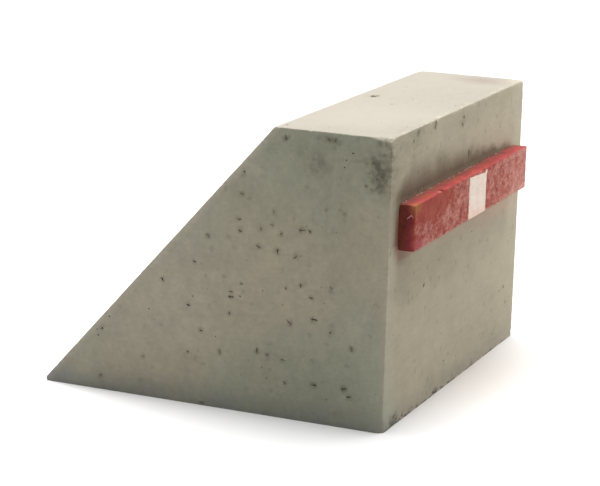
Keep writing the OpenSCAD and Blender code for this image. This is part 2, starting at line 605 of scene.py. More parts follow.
# %% A material and the nodes it is made with
class Finish:
    """A material, its colour so far, and short names for the nodes that a finish needs."""

    def __init__(self, name, colour=None):
        self.material = bpy.data.materials.new(name)
        self.material.use_nodes = True
        self.tree = self.material.node_tree
        self.surface = next(n for n in self.tree.nodes if n.type == "BSDF_PRINCIPLED")
        self.place = self.put("TexCoord", {}).outputs["Object"]
        self.colour = colour

    def put(self, kind, inputs, **settings):
        """Adds a node; an input is a number, a colour or another node's output."""
        made = self.tree.nodes.new("ShaderNode" + kind)
        for key, value in settings.items():
            setattr(made, key, value)
        for key, value in inputs.items():
            self.feed(made, key, value)
        return made

    def feed(self, node, key, value):
        """Sets one input of a node, or links an output to it."""
        socket = node.inputs[key]
        if isinstance(value, bpy.types.NodeSocket):
            self.tree.links.new(value, socket)
        else:
            socket.default_value = (*value, 1.0) if socket.type == "RGBA" else value

    def do(self, operation, first, second):
        """One step of arithmetic."""
        return self.put("Math", {0: first, 1: second}, operation=operation).outputs[0]

    def times(self, first, *others):
        """Numbers multiplied, such as shares that must all be high."""
        for other in others:
            first = self.do("MULTIPLY", first, other)
        return first

    def plus(self, first, *others):
        """Numbers added up."""
        for other in others:
            first = self.do("ADD", first, other)
        return first

    def clouds(self, scale, detail=3.0, rough=0.5, where=None, stretch=None):
        """Soft noise from 0 to 1; scale is the number of clouds in a metre."""
        where = where or self.place
        if stretch:
            where = self.put("Mapping", {"Vector": where, "Scale": stretch}).outputs[0]
        inputs = {"Vector": where, "Scale": scale, "Detail": detail, "Roughness": rough}
        return self.put("TexNoise", inputs).outputs[0]

    def grains(self, scale, where=None):
        """Distance from the middle of each grain, and three random numbers for each grain."""
        node = self.put("TexVoronoi", {"Vector": where or self.place, "Scale": scale})
        return node.outputs["Distance"], self.put("SeparateColor", {0: node.outputs["Color"]}).outputs

    def noted(self, name):
        """A number that was noted on the vertices under a name."""
        return self.put("Attribute", {}, attribute_name=name).outputs["Fac"]

    def clamp(self, value):
        """A number held between 0 and 1."""
        return self.put("Clamp", {"Value": value}).outputs[0]

    def fade(self, value, low, high, start=0.0, end=1.0):
        """Goes smoothly from start to end while the value goes from low to high."""
        inputs = {"Value": value, "From Min": low, "From Max": high, "To Min": start, "To Max": end}
        return self.put("MapRange", inputs, interpolation_type="SMOOTHSTEP").outputs[0]

    def beside(self, letter, plane, low, high, *levels):
        """A fade along one axis, between two distances from a plane."""
        return self.fade(self.axis(letter), plane + low, plane + high, *levels)

    def mix(self, share, first, second):
        """A colour between two colours."""
        return self.put("Mix", {0: share, 6: first, 7: second}, data_type="RGBA").outputs[2]

    def lay(self, new, *shares):
        """Lays a colour over the finish so far, as much as the shares multiplied say."""
        self.colour = self.mix(self.times(*shares), self.colour, new)

    def mix_number(self, share, first, second):
        """A number between two numbers."""
        return self.put("Mix", {0: share, 2: first, 3: second}, data_type="FLOAT").outputs[0]

    def axis(self, letter, where=None):
        """One coordinate, in metres."""
        return self.put("SeparateXYZ", {0: where or self.place}).outputs["XYZ".index(letter)]

    def vector(self, operation, first, second=(0, 0, 0), result=0):
        """One step of vector arithmetic."""
        return self.put("VectorMath", {0: first, 1: second}, operation=operation).outputs[result]

    def scaled(self, vector, factor):
        """A vector or a colour made longer or lighter by a factor."""
        return self.put("VectorMath", {0: vector, "Scale": factor}, operation="SCALE").outputs[0]

    def spot(self, centre, reach, where=None, squash=(1.0, 1.0, 1.0), full=1.0):
        """The full share in the middle of a spot, fading to 0 at its reach."""
        offset = self.vector("SUBTRACT", where or self.place, tuple(centre))
        offset = self.vector("MULTIPLY", offset, squash)
        return self.fade(self.vector("LENGTH", offset, result=1), reach, 0.0, 0.0, full)

    def spots(self, many, where=None):
        """The shares of many spots, added up."""
        total = 0.0
        for centre, reach, full, squash in many:
            total = self.plus(total, self.spot(centre, reach, where, squash, full))
        return total

    def stroke(self, start, end, width, where=None):
        """1 along the line from start to end, fading to 0 at half the width from it."""
        start, end = Vector(start), Vector(end)
        run = end - start
        offset = self.vector("SUBTRACT", where or self.place, tuple(start))
        along = self.clamp(self.vector("DOT_PRODUCT", offset, tuple(run / run.length_squared), 1))
        gap = self.vector("SUBTRACT", offset, self.scaled(tuple(run), along))
        return self.fade(self.vector("LENGTH", gap, result=1), width / 2, width / 6)

    def shade(self, *parts):
        """Makes the finish lighter and darker by clouds: parts are (clouds, how much)."""
        tone = 1.0
        for clouds, amount in parts:
            tone = self.plus(tone, self.times(self.do("SUBTRACT", clouds, 0.5), amount))
        self.colour = self.scaled(self.colour, tone)

    def between(self, value, low, high, soft):
        """1 while the value is between two limits, with soft edges."""
        rise = self.fade(value, low - soft, low + soft)
        return self.times(rise, self.fade(value, high + soft, high - soft))

    def stirred(self, scale, amount, where=None):
        """Coordinates pushed about by noise, so that a spot gets a ragged outline."""
        where = where or self.place
        push = self.put("TexNoise", {"Vector": where, "Scale": scale, "Detail": 3.0})
        push = self.vector("SUBTRACT", push.outputs["Color"], (0.5, 0.5, 0.5))
        return self.vector("ADD", where, self.vector("MULTIPLY", push, (amount, amount, amount)))

    def relief(self, height, distance, below=None):
        """A bump of a height map; distance is how many metres a height of 1 stands for."""
        inputs = {"Height": height, "Distance": distance, "Strength": 1.0}
        if below:
            inputs["Normal"] = below
        return self.put("Bump", inputs).outputs[0]

    def coat(self, roughness, gloss, normal=None):
        """Feeds the shader, and gives back the finish."""
        self.feed(self.surface, "Base Color", self.colour)
        self.feed(self.surface, "Roughness", roughness)
        self.feed(self.surface, "Specular IOR Level", gloss)
        if normal:
            self.feed(self.surface, "Normal", normal)
        return self


def straight_rays(tree):
    """1 for rays from the camera, and for those that met a mirror or a glass on their way."""
    path = tree.nodes.new("ShaderNodeLightPath")
    total = path.outputs["Is Camera Ray"]
    for name in ("Is Glossy Ray", "Is Transmission Ray"):
        either = tree.nodes.new("ShaderNodeMath")
        either.operation = "MAXIMUM"
        tree.links.new(total, either.inputs[0])
        tree.links.new(path.outputs[name], either.inputs[1])
        total = either.outputs[0]
    return total


print("tools for the finishes are ready")

# %% [markdown]
# ## Cast concrete
# Grey cement paste is never one grey: it is warmer where it dried slowly and greener where it
# stayed damp, and a fine sandy grain lies over all of it. The face that was trowelled is paler.
# The foot is darker and bluer, and round the beam the face carries dirt, painted shade and a painted
# reflection of the beam.

# %% The colours of the concrete
WARM_PASTE = (0.528, 0.472, 0.35)
GREEN_PASTE = (0.428, 0.44, 0.332)
TROWELLED = (0.47, 0.434, 0.367)
SMUDGE = (0.182, 0.172, 0.126)
# A dark brown for dirt and for the painted shade of the beam.
SHADE_AND_DIRT_BROWN = (0.12, 0.088, 0.054)
PALE_PASTE = (0.62, 0.56, 0.45)
DARK_GRAIN = (0.2, 0.195, 0.15)
PINK_STAIN = (0.4, 0.34, 0.29)
HOLE_DUST = (0.36, 0.33, 0.25)
# Darker and bluer towards the foot.
FOOT_BLUE_GREY = (0.15, 0.165, 0.32)
FOOT_CRUST = (0.13, 0.115, 0.08)
HOLE_SOIL = (0.19, 0.16, 0.11)
RAIN_GREY = (0.175, 0.18, 0.145)
# Painted pink reflection and red shade of the beam, and a line of rubbed paint and painted shade under
# it.
PINK_BEAM_REFLECTION = (0.75, 0.4, 0.33)
RED_BEAM_SHADE = (0.33, 0.12, 0.09)
RUB_AND_SHADE_LINE = (0.3, 0.17, 0.13)
DRAWN_ALONG = (0.45, 1.0, 1.0)

# %% Where the block is smudged, warmer or paler
MARKED_FACES = {
    "near_side": (0, near_x), "front": (1, front_y), "top": (2, top_z), "beam": (1, beam_low.y)
}


def marks(face, *rows):
    """Spots on a face, from (across, up, reach, share) and, where not round, two squashes."""
    axis, plane = MARKED_FACES[face]
    spots = []
    for across, up, reach, share, *squash in rows:
        centre = [across, up]
        centre.insert(axis, plane)
        squash = squash or [1.0, 1.0]
        squash.insert(axis, 1.0)
        spots.append((centre, reach, share, squash))
    return spots


SMUDGES = marks("near_side",
    (-0.8, 1.62, 0.45, 0.2), (-1.08, 1.61, 0.17, 0.28, 1.1, 0.7), (-1.076, 1.77, 0.03, 0.45, 0.8, 1.0),
    (-1.112, 1.765, 0.034, 0.45, 1.4, 0.8), (-1.137, 1.728, 0.048, 0.36, 1.6, 0.7),
    (-1.105, 1.7, 0.044, 0.38, 0.8, 1.6), (-1.043, 1.672, 0.032, 0.28, 2.0, 0.6),
    (-0.996, 1.645, 0.065, 0.4, 0.7, 2.6), (-1.057, 1.625, 0.06, 0.44),
    (-1.028, 1.575, 0.065, 0.3, 2.2, 0.8), (-1.117, 1.57, 0.024, 0.8),
    (-1.085, 1.542, 0.1, 0.44, 1.2, 1.0), (-1.072, 1.484, 0.08, 0.48, 0.9, 1.7),
    (-1.145, 1.44, 0.1, 0.18), (-0.68, 1.6, 0.11, 0.34), (-0.584, 1.68, 0.08, 0.2),
    (-0.48, 1.745, 0.05, 0.35), (-0.8, 1.08, 0.45, 0.1), (-0.4, 1.68, 0.07, 0.16),
    (-0.25, 1.39, 0.22, 0.13), (-0.79, 1.752, 0.06, 0.28, 0.8, 1.6), (-1.13, 0.72, 0.14, 0.12),
    (-0.94, 0.5, 0.05, 0.22), (-0.92, 0.43, 0.07, 0.12), (-0.56, 1.015, 0.06, 0.2),
    (-0.7, 0.25, 0.5, 0.13), (-0.55, 0.0, 0.45, 0.12, 0.6, 2.6), (0.55, 0.05, 0.45, 0.12, 0.8, 3.0),
    (0.98, 0.15, 0.1, 0.16)
)
SMUDGES += marks("front",
    (-0.85, 1.785, 0.3, 0.16, 0.7, 1.6), (-0.95, 1.65, 0.24, 0.22, 0.6, 1.2), (0.03, 1.56, 0.13, 0.15),
    (1.03, 1.47, 0.08, 0.18), (0.0, 0.05, 0.5, 0.12, 1.0, 4.0), (-1.035, 1.405, 0.018, 0.8),
    (-0.93, 1.405, 0.02, 0.8), (-0.768, 1.412, 0.026, 0.9, 1.0, 0.7), (-1.19, 1.61, 0.2, 0.36, 1.6, 0.8),
    (-0.8, 1.776, 0.035, 0.6, 0.7, 1.2), (0.65, 0.1, 0.6, 0.16, 0.7, 1.0), (0.15, 1.467, 0.07, 0.4),
    (-0.5, 1.765, 0.06, 0.3), (0.0, 1.71, 0.08, 0.3), (0.3, 1.79, 0.9, 0.1, 1.0, 5.0),
    (-1.05, 0.02, 0.1, 0.32), (-1.045, 0.022, 0.044, 0.95, 0.6, 1.0), (-1.0, 0.044, 0.038, 0.9, 0.8, 0.7),
    (-1.172, 1.12, 0.026, 0.7), (-0.757, 0.022, 0.028, 0.5, 0.8, 0.8),
    (-0.605, 0.012, 0.03, 0.5, 0.5, 1.0), (-0.51, 0.012, 0.028, 0.6),
    (-0.315, 0.018, 0.036, 0.6, 0.6, 1.0), (-0.6, 0.8, 0.05, 0.1)
)
SMUDGES += marks("top",
    (0.08, -0.52, 0.08, 0.3, 1.0, 1.6), (1.13, -1.08, 0.02, 0.6)
)
WARM_PLACES = marks("near_side",
    (-0.25, 0.85, 0.8, 0.6), (0.45, 0.45, 0.9, 0.62), (-0.75, 0.95, 0.8, 0.4),
    (front_y, 1.3, 0.55, 0.35, 1.0, 0.7), (-1.05, 1.68, 0.3, 0.26)
)
WARM_PLACES += marks("front",
    (-1.1, 0.15, 0.3, -0.35)
)
PALE_PLACES = marks("near_side",
    (0.3, 0.7, 0.9, 0.38), (-1.13, 1.74, 0.11, 0.18), (0.05, 1.25, 0.5, 0.24),
    (0.3, 0.6, 0.42, 0.3, 1.0, 0.8), (0.62, 0.42, 0.26, 0.28), (-1.155, 0.9, 0.06, 0.08, 1.0, 0.13),
    (-0.7, 0.75, 0.75, 0.17), (0.96, 0.2, 0.24, 0.34), (-0.23, 1.52, 0.22, 0.24)
)
PALE_PLACES += marks("front",
    (-1.2, 0.75, 0.2, 0.24, 1.0, 0.2), (-1.15, 0.22, 0.18, 0.26, 1.0, 0.8),
    (1.225, 0.9, 0.07, 0.4, 1.0, 0.07), (1.2, 1.4, 0.5, 0.15), (1.1, 1.72, 0.2, 0.4)
)
PALE_PLACES += marks("top",
    (1.15, -1.12, 0.09, 0.4), (0.75, -0.85, 0.014, 1.0), (-0.6, -0.8, 0.7, 0.12)
)


# %% The finish of the cast faces
def concrete_finish(name):
    """Cement paste in two greys, with sandy grain, smudges, a dirty foot and worn arrises."""
    mat = Finish(name)
    ragged = mat.stirred(28.0, 0.05, mat.stirred(6.0, 0.12))
    lengthwise = mat.vector("MULTIPLY", mat.place, DRAWN_ALONG)
    height = mat.axis("Z", ragged)
    broad = mat.clouds(1.6, 3.0, 0.55)
    mottle = mat.clouds(4.5, 3.0, 0.6)
    blotch = mat.clouds(9.0, 4.0, 0.6, lengthwise)
    sandy = mat.clouds(38.0, 4.0, 0.65, lengthwise)
    grit = mat.clouds(170.0, 3.0, 0.7, lengthwise)
    drawn = mat.clouds(14.0, 3.0, 0.6, lengthwise, stretch=(1.0, 1.0, 4.0))

    elsewhere = mat.beside("X", near_x, 0.02, 0.3, 0.0, 0.45)
    on_front = mat.beside("Y", front_y, 0.06, 0.004, 0.0, 0.45)
    warmth = mat.plus(mat.fade(broad, 0.4, 0.66, 0.0, 0.3), elsewhere)
    warmth = mat.plus(warmth, mat.spots(WARM_PLACES, ragged), on_front)
    mat.colour = mat.mix(mat.fade(warmth, 0.0, 1.0), GREEN_PASTE, WARM_PASTE)
    upward = mat.axis("Z", mat.put("NewGeometry", {}).outputs["Normal"])
    trowelled = mat.times(
        mat.beside("Z", top_z, -0.045, -0.01),
        mat.fade(upward, 0.3, 0.75),
        mat.beside("Y", slope_top_y, 0.006, -0.002),
    )
    mat.lay(TROWELLED, trowelled)
    mat.lay(PINK_STAIN, mat.spot((1.06, -0.93, top_z), 0.3, ragged, (1.2, 1.0, 1.0)))

    inwards = mat.vector("SUBTRACT", mat.place, tuple(slope_top))
    inwards = mat.vector("DOT_PRODUCT", inwards, tuple(FACE_FRAMES["slope"][3]), 1)
    pale_arrises(mat, inwards, sandy, ragged)
    crumbs = mat.fade(mat.clouds(34.0, 3.0, 0.6, lengthwise), 0.54, 0.6)
    crumbs = mat.times(crumbs, mat.beside("Y", front_y, 0.05, 0.01))
    mat.lay(PALE_PASTE, crumbs, mat.beside("Z", top_z, -0.03, -0.005), 0.8)
    calm = mat.fade(trowelled, 0.0, 1.0, 1.0, 0.2)
    parts = ((mottle, 0.22), (blotch, 0.26), (sandy, 0.15), (grit, 0.08), (drawn, 0.12))
    mat.shade(*[(clouds, mat.times(calm, much)) for clouds, much in parts])
    uneven = mat.times(calm, mat.fade(on_front, 0.0, 0.45, 0.28, 0.0))
    mat.shade((mat.clouds(22.0, 3.0, 0.65), uneven))

    run = mat.fade(mat.clouds(9.0, 4.0, 0.65, stretch=(1.0, 0.12, 0.12)), 0.48, 0.66)
    run = mat.times(run, mat.fade(mottle, 0.36, 0.6), mat.fade(inwards, -0.008, -0.002))
    mat.lay(RAIN_GREY, run, 0.34)
    grains_of_stone(mat, calm)

    streaky = mat.clouds(24.0, 5.0, 0.72, mat.stirred(25.0, 0.03, lengthwise))
    patchy = mat.fade(streaky, 0.36, 0.62, 0.5, 1.2)
    mat.lay(SMUDGE, mat.spots(SMUDGES, ragged), patchy)
    soil = mat.fade(patchy, 0.5, 1.2, 0.15, 0.55)
    mat.lay(HOLE_SOIL, mat.noted("halo"), soil)
    foot_tones(mat, height, blotch, sandy)
    # Dirt and painted shade of the beam, above and below it.
    mat.lay(SHADE_AND_DIRT_BROWN, beam_dirt_and_shade(mat, ragged))
    # Painted reflection and shade of the beam on the concrete, and a rubbed line under it.
    beam_reflection_shade_and_rub(mat, ragged)
    coarse = mat.relief(mat.clouds(45.0, 3.0, 0.55), 0.0012)
    fine = mat.relief(grit, 0.0005, coarse)
    return mat.coat(mat.fade(sandy, 0.3, 0.7, 0.84, 0.96), 0.1, fine)


def pale_arrises(mat, inwards, sandy, ragged):
    """Pale paste where arrises are rubbed, along the slope's near arris and in pale places."""
    rubbed = mat.times(mat.fade(mat.noted("arris"), 0.72, 0.98), mat.fade(sandy, 0.35, 0.62))
    rim = mat.fade(inwards, -0.055, -0.006, 0.0, mat.fade(sandy, 0.3, 0.6, 0.4, 0.75))
    rim = mat.times(rim, mat.beside("X", near_x, 0.01, 0.004))
    pale = mat.plus(mat.times(rubbed, 0.35), mat.spots(PALE_PLACES, ragged), rim)
    mat.lay(PALE_PASTE, pale)


def grains_of_stone(mat, calm):
    """Small dark and pale grains, and a few larger scuffs."""
    distance, dice = mat.grains(120.0)
    speck = mat.times(mat.fade(distance, 0.42, 0.25), mat.fade(dice[0], 0.88, 0.9))
    mat.lay(DARK_GRAIN, speck, 0.12)
    speck = mat.times(mat.fade(distance, 0.5, 0.3), mat.fade(dice[1], 0.975, 0.985))
    mat.lay(PALE_PASTE, speck, 0.35)
    distance, dice = mat.grains(13.0, mat.stirred(30.0, 0.045))
    scuff = mat.times(mat.fade(distance, 0.34, 0.1), mat.fade(dice[0], 0.55, 0.75, 0.0, 0.28))
    mat.lay(DARK_GRAIN, scuff, calm)


def foot_tones(mat, height, blotch, sandy):
    """Darker and bluer towards the foot all round, but on the front only a crumbly brown line at the
    floor.
    """
    on_front = mat.beside("Y", front_y, 0.012, 0.003)
    much = mat.fade(mat.plus(blotch, mat.times(sandy, 0.4)), 0.5, 0.85, 0.04, 0.3)
    foot = mat.fade(height, 0.2, -0.04, 0.0, mat.mix_number(on_front, much, 0.12))
    toe = mat.spot((near_x, 1.1, 0.04), 0.2, mat.stirred(12.0, 0.06), (1.0, 0.8, 1.2), 0.18)
    mat.lay(FOOT_BLUE_GREY, mat.plus(foot, toe))
    crumbs = mat.clouds(34.0, 4.0, 0.7, stretch=DRAWN_ALONG)
    line = mat.plus(mat.axis("Z"), mat.times(mat.do("SUBTRACT", crumbs, 0.5), -0.2))
    mat.lay(FOOT_CRUST, mat.fade(line, 0.006, -0.01, 0.0, 0.75), on_front)
    pale = mat.beside("Z", foot_z, 0.02, 0.004)
    mat.lay(PALE_PASTE, pale, mat.fade(crumbs, 0.5, 0.42), on_front)


# Spots of dirt and painted shade of the beam: one above it and two below its near end.
DIRT_AND_SHADE_SPOTS = marks("front",
    (0.2, 1.51, 0.12, 0.16, 0.5, 1.0), (-0.98, 1.04, 0.24, 0.14, 1.0, 1.2),
    (-1.01, 1.085, 0.13, 0.46, 0.7, 1.0)
)


def beam_dirt_and_shade(mat, ragged):
    """Dirt and painted shade of the beam on the front face: most just above the beam, a little below it,
    none at its far end.
    """
    height = mat.axis("Z", ragged)
    along = mat.axis("X", ragged)
    near_end = mat.fade(along, -1.12, -0.8, 0.55, 1.0)
    reach = mat.times(mat.fade(along, -0.85, 1.15, 0.29, 0.05), near_end)
    share = mat.do("DIVIDE", mat.do("SUBTRACT", height, beam_high.z), reach)
    share = mat.times(
        mat.fade(share, 1.0, 0.05, 0.0, 0.8),
        mat.fade(along, 1.1, 0.68),
        mat.beside("Z", beam_high.z, 0.004, 0.036, 0.62, 1.0),
        mat.beside("Z", beam_low.z, 0.02, 0.05),
    )
    share = mat.plus(share, mat.spots(DIRT_AND_SHADE_SPOTS, ragged))
    off_strip = mat.fade(along, near_x + 0.03, near_x + 0.14, 0.15, 1.0)
    return mat.times(share, off_strip, mat.beside("Y", front_y, 0.006, 0.001))


# Painted pink reflection of the beam below it, and painted red shade by its near end.
PINK_REFLECTION_SPOTS = marks("front",
    (0.75, 1.02, 0.85, 0.26, 1.0, 6.0), (-0.1, 1.07, 1.0, 0.22, 1.0, 10.0)
)
RED_SHADE_SPOTS = marks("front", (beam_low.x, 1.21, 0.19, 0.8, 2.4, 0.9), (-1.125, 1.425, 0.09, 0.2))


def beam_reflection_shade_and_rub(mat, ragged):
    """The beam's light and shade painted on the concrete: a painted pink reflection below it, painted red
    shade by its near end, and a line of rubbed paint with painted contact shade under it.
    """
    mat.lay(PINK_BEAM_REFLECTION, mat.spots(PINK_REFLECTION_SPOTS, ragged))
    mat.lay(RED_BEAM_SHADE, mat.spots(RED_SHADE_SPOTS, ragged))
    torn_height = mat.axis("Z", mat.stirred(40.0, 0.014))
    rub = mat.times(
        mat.fade(torn_height, beam_low.z - 0.086, beam_low.z - 0.06, 0.0, 0.36),
        mat.beside("Z", beam_low.z, 0.02, 0.01),
        mat.beside("Y", front_y, 0.006, 0.001),
        mat.between(mat.axis("X"), beam_low.x, beam_high.x, 0.01),
    )
    mat.lay(RUB_AND_SHADE_LINE, rub)


def hole_finish(name):
    """The inside of a blowhole: dust and shade, a little uneven."""
    mat = Finish(name, HOLE_DUST)
    mat.shade((mat.clouds(5.0, 1.0, 0.5), 2.2), (mat.clouds(90.0, 3.0, 0.6), 0.9))
    return mat.coat(0.95, 0.2)


for finish in (concrete_finish("cast_concrete"), hole_finish("blowhole_dust")):
    block_piece.data.materials.append(finish.material)
print("finishes on the block:", [m.name for m in block_piece.data.materials])

# %% [markdown]
# ## The timber beam
# The beam is sawn timber, so its faces are not quite even: the grain stands in low ridges along
# its length, and the brush has left paint in lumps over them. The blank is a box with fine rows of
# cuts. Its vertices are then pressed inwards by a millimetre or two, which keeps it inside the
# size that the construction gives it. The back lies against the concrete and stays flat.

# %% The beam's blank
BEAM_CELL_LONG = 0.012
BEAM_CELL_HIGH = 0.009
BEAM_ARRIS_ROWS = (0.0015, 0.0035, 0.007)

beam = bmesh.new()
bmesh.ops.create_cube(beam, size=1.0)
bmesh.ops.scale(beam, verts=beam.verts, vec=beam_high - beam_low)
bmesh.ops.translate(beam, verts=beam.verts, vec=(beam_high + beam_low) / 2)
beam_sides = flat_sides(beam)
cut_evenly(beam, (beam_low.x, 0, 0), (beam_high.x, 0, 0), BEAM_CELL_LONG)
cut_evenly(beam, (0, 0, beam_low.z), (0, 0, beam_high.z), BEAM_CELL_HIGH)
cut_evenly(beam, (0, beam_low.y, 0), (0, beam_high.y, 0), BEAM_CELL_HIGH)
cut_beside_sides(beam, beam_sides, BEAM_ARRIS_ROWS)
print("beam blank", len(beam.faces), "faces")

# %% Wear the beam's arrises and press in its faces
BEAM_WEAR = Wear(even=0.004, wavy=0.0024, wave=0.08, nick=0.022, nick_depth=0.02, least=0.002)
BEAM_KNOCKS = [
    ((-0.595, beam_low.y, beam_high.z), 0.04, 0.02),
    ((beam_high.x, beam_low.y, beam_low.z), 0.03, 0.004),
    ((beam_low.x, beam_low.y, beam_low.z + 0.09), 0.11, 0.022),
    ((beam_low.x, beam_low.y, beam_low.z + 0.175), 0.08, 0.013),
    ((beam_low.x, beam_low.y, beam_high.z), 0.06, 0.012),
    ((0.85, beam_low.y, beam_high.z), 0.2, 0.004),
    ((0.7, beam_low.y, beam_low.z), 0.05, 0.009),
    ((-0.36, beam_low.y, beam_low.z), 0.03, 0.007),
    ((-0.7, beam_low.y, beam_low.z), 0.06, 0.006),
    ((beam_low.x, beam_high.y, beam_high.z), 0.06, 0.01),
    ((beam_low.x, beam_high.y, beam_low.z), 0.04, 0.006),
]
wear_arrises(beam, beam_sides, BEAM_WEAR, BEAM_KNOCKS)
BAND_LOW_X = -0.114
BAND_HIGH_X = 0.21


def pressed_in(place):
    """How far the surface of the painted beam lies inside its box, in metres."""
    grain = noise.fractal(Vector((place.x * 3.0, place.y * 34.0, place.z * 34.0)), 1.0, 2.0, 3)
    lumps = noise.fractal(Vector((place.x * 46.0, place.y * 46.0, place.z * 62.0)), 0.8, 2.0, 3)
    under_white = 0.0 if BAND_LOW_X < place.x < BAND_HIGH_X else 0.0004
    return max(0.0, 0.0009 + 0.0007 * grain + 0.0008 * lumps) + under_white


beam.normal_update()
presses = []
for vert in beam.verts:
    if vert.co.y < beam_high.y - 0.001:
        off_back = min(1.0, (beam_high.y - vert.co.y) / 0.01)
        presses.append((vert, vert.normal * -pressed_in(vert.co) * off_back))
for vert, press in presses:
    vert.co += press
print("beam vertices pressed in:", len(presses))

# %% The beam as a piece
beam_piece = finished_piece(beam, "painted_beam", sharp_degrees=40)

# %% [markdown]
# ## Brush paint, old and rubbed
# Red paint went on by brush, and a white band was brushed over it in the middle. The buffers have
# rubbed the front chalky and pink, while the top, which nothing touches, has kept a deep red with
# some gloss.

# %% The colours of the paint
DEEP_RED = (0.385, 0.064, 0.05)
BRICK_RED = (0.395, 0.096, 0.062)
CHALKY_PINK = (0.64, 0.298, 0.25)
MAGENTA = (0.46, 0.1, 0.115)
BROWN_PINK = (0.5, 0.25, 0.165)
FRAYED_PINK = (0.64, 0.35, 0.29)
TOP_RED = (0.37, 0.062, 0.066)
# A painted highlight for the top's front arris.
LIP_HIGHLIGHT = (0.45, 0.082, 0.088)
TOP_ORANGE = (0.4, 0.088, 0.054)
# Painted shade for the back of the top, by the concrete.
TOP_SHADE = (0.225, 0.086, 0.066)
CRACK_RED = (0.12, 0.018, 0.018)
END_RED = (0.27, 0.042, 0.054)
END_BROWN = (0.195, 0.05, 0.036)
LEDGE_DUST = (0.42, 0.37, 0.29)
OLD_WHITE = (1.0, 0.86, 0.74)
PINK_WHITE = (0.99, 0.72, 0.6)
BARE_OCHRE = (0.4, 0.155, 0.058)
FIBRE = (0.98, 0.56, 0.6)
FRONT = beam_low.y
SMOOTH_PLACES = marks("beam",
    (-0.78, 1.355, 0.43, 0.26, 0.75, 2.6), (-1.04, 1.12, 0.13, 0.14)
)
BROKEN_SPOTS = marks("beam",
    (-0.716, 1.134, 0.022, 0.9), (-0.357, 1.108, 0.018, 0.9), (0.238, 1.322, 0.018, 0.9),
    (0.44, 1.316, 0.03, 0.7), (0.543, 1.304, 0.026, 0.7), (0.412, 1.228, 0.034, 0.6),
    (0.597, 1.22, 0.028, 0.6)
)


# %% The front: rubbed, browned, cracked and frayed
def rubbed_share(mat, ragged, smooth):
    """How chalky the paint is: more to the far end, and little where it is still smooth."""
    patches = mat.clouds(11.0, 3.0, 0.55)
    strokes = mat.clouds(44.0, 6.0, 0.8, mat.stirred(30.0, 0.03), (0.42, 1.0, 1.0))
    mixed = mat.plus(mat.times(strokes, 0.7), mat.times(patches, 0.3))
    level = mat.fade(mat.axis("X", ragged), 0.45, 1.05, 0.0, 0.1)
    return mat.fade(mat.do("SUBTRACT", mat.plus(mixed, level), smooth), 0.41, 0.62)


def front_colours(mat, front, rubbed, ragged, torn):
    """The marks on the beam's front, from the chalky paint to the frayed lower arris."""
    mat.lay(CHALKY_PINK, rubbed, 0.85, front)
    browned = mat.clouds(16.0, 4.0, 0.65, stretch=DRAWN_ALONG)
    browned = mat.fade(browned, 0.5, 0.68, 0.0, 0.45)
    mat.lay(BROWN_PINK, browned, front, rubbed)
    magenta = mat.spot((-1.01, FRONT, 1.128), 0.12, ragged, (0.8, 0.6, 1.3), 0.66)
    mat.lay(MAGENTA, magenta)
    crack = mat.plus(
        mat.stroke((-1.0, FRONT, 1.168), (-0.56, FRONT, 1.204), 0.012, ragged),
        mat.stroke((0.3, FRONT, 1.335), (0.9, FRONT, 1.338), 0.01, ragged),
        mat.spots(BROKEN_SPOTS, torn),
    )
    broken = mat.fade(mat.clouds(70.0, 2.0), 0.38, 0.55)
    mat.lay(CRACK_RED, crack, broken, 0.75)
    middle = mat.between(mat.axis("X", ragged), -1.2, 0.5, 0.1)
    broad = mat.mix_number(middle, 0.046, 0.016)
    frayed = mat.do("DIVIDE", mat.do("SUBTRACT", mat.axis("Z", ragged), beam_low.z), broad)
    strands = mat.fade(mat.clouds(26.0, 3.0, 0.6, stretch=DRAWN_ALONG), 0.34, 0.54)
    mat.lay(FRAYED_PINK, mat.fade(frayed, 1.0, 0.1), strands, front, 0.75)


# %% The white band
def band_share(mat, front, torn):
    """Where the band is: ragged ends, a slanting upper edge and a small peak."""
    along, height = mat.axis("X", torn), mat.axis("Z", torn)
    rim = mat.fade(along, BAND_LOW_X, BAND_HIGH_X, beam_high.z - 0.012, beam_high.z - 0.028)
    under_rim = mat.fade(mat.do("SUBTRACT", height, rim), 0.003, -0.003)
    band = mat.times(mat.between(along, BAND_LOW_X, BAND_HIGH_X, 0.003), under_rim)
    peak = mat.spot((0.206, FRONT, 1.362), 0.022, torn, (0.7, 1.0, 1.0), 1.4)
    return mat.times(mat.clamp(mat.plus(band, peak)), front), height


def white_paint(mat, height):
    """White that is thinner and pinker in places, and at the foot of the band."""
    thin = mat.clouds(34.0, 4.0, 0.7, stretch=(0.45, 1.0, 0.8))
    thin = mat.plus(thin, mat.fade(height, 1.2, 1.09, 0.0, 0.22))
    return mat.mix(mat.fade(thin, 0.45, 0.75), OLD_WHITE, PINK_WHITE)


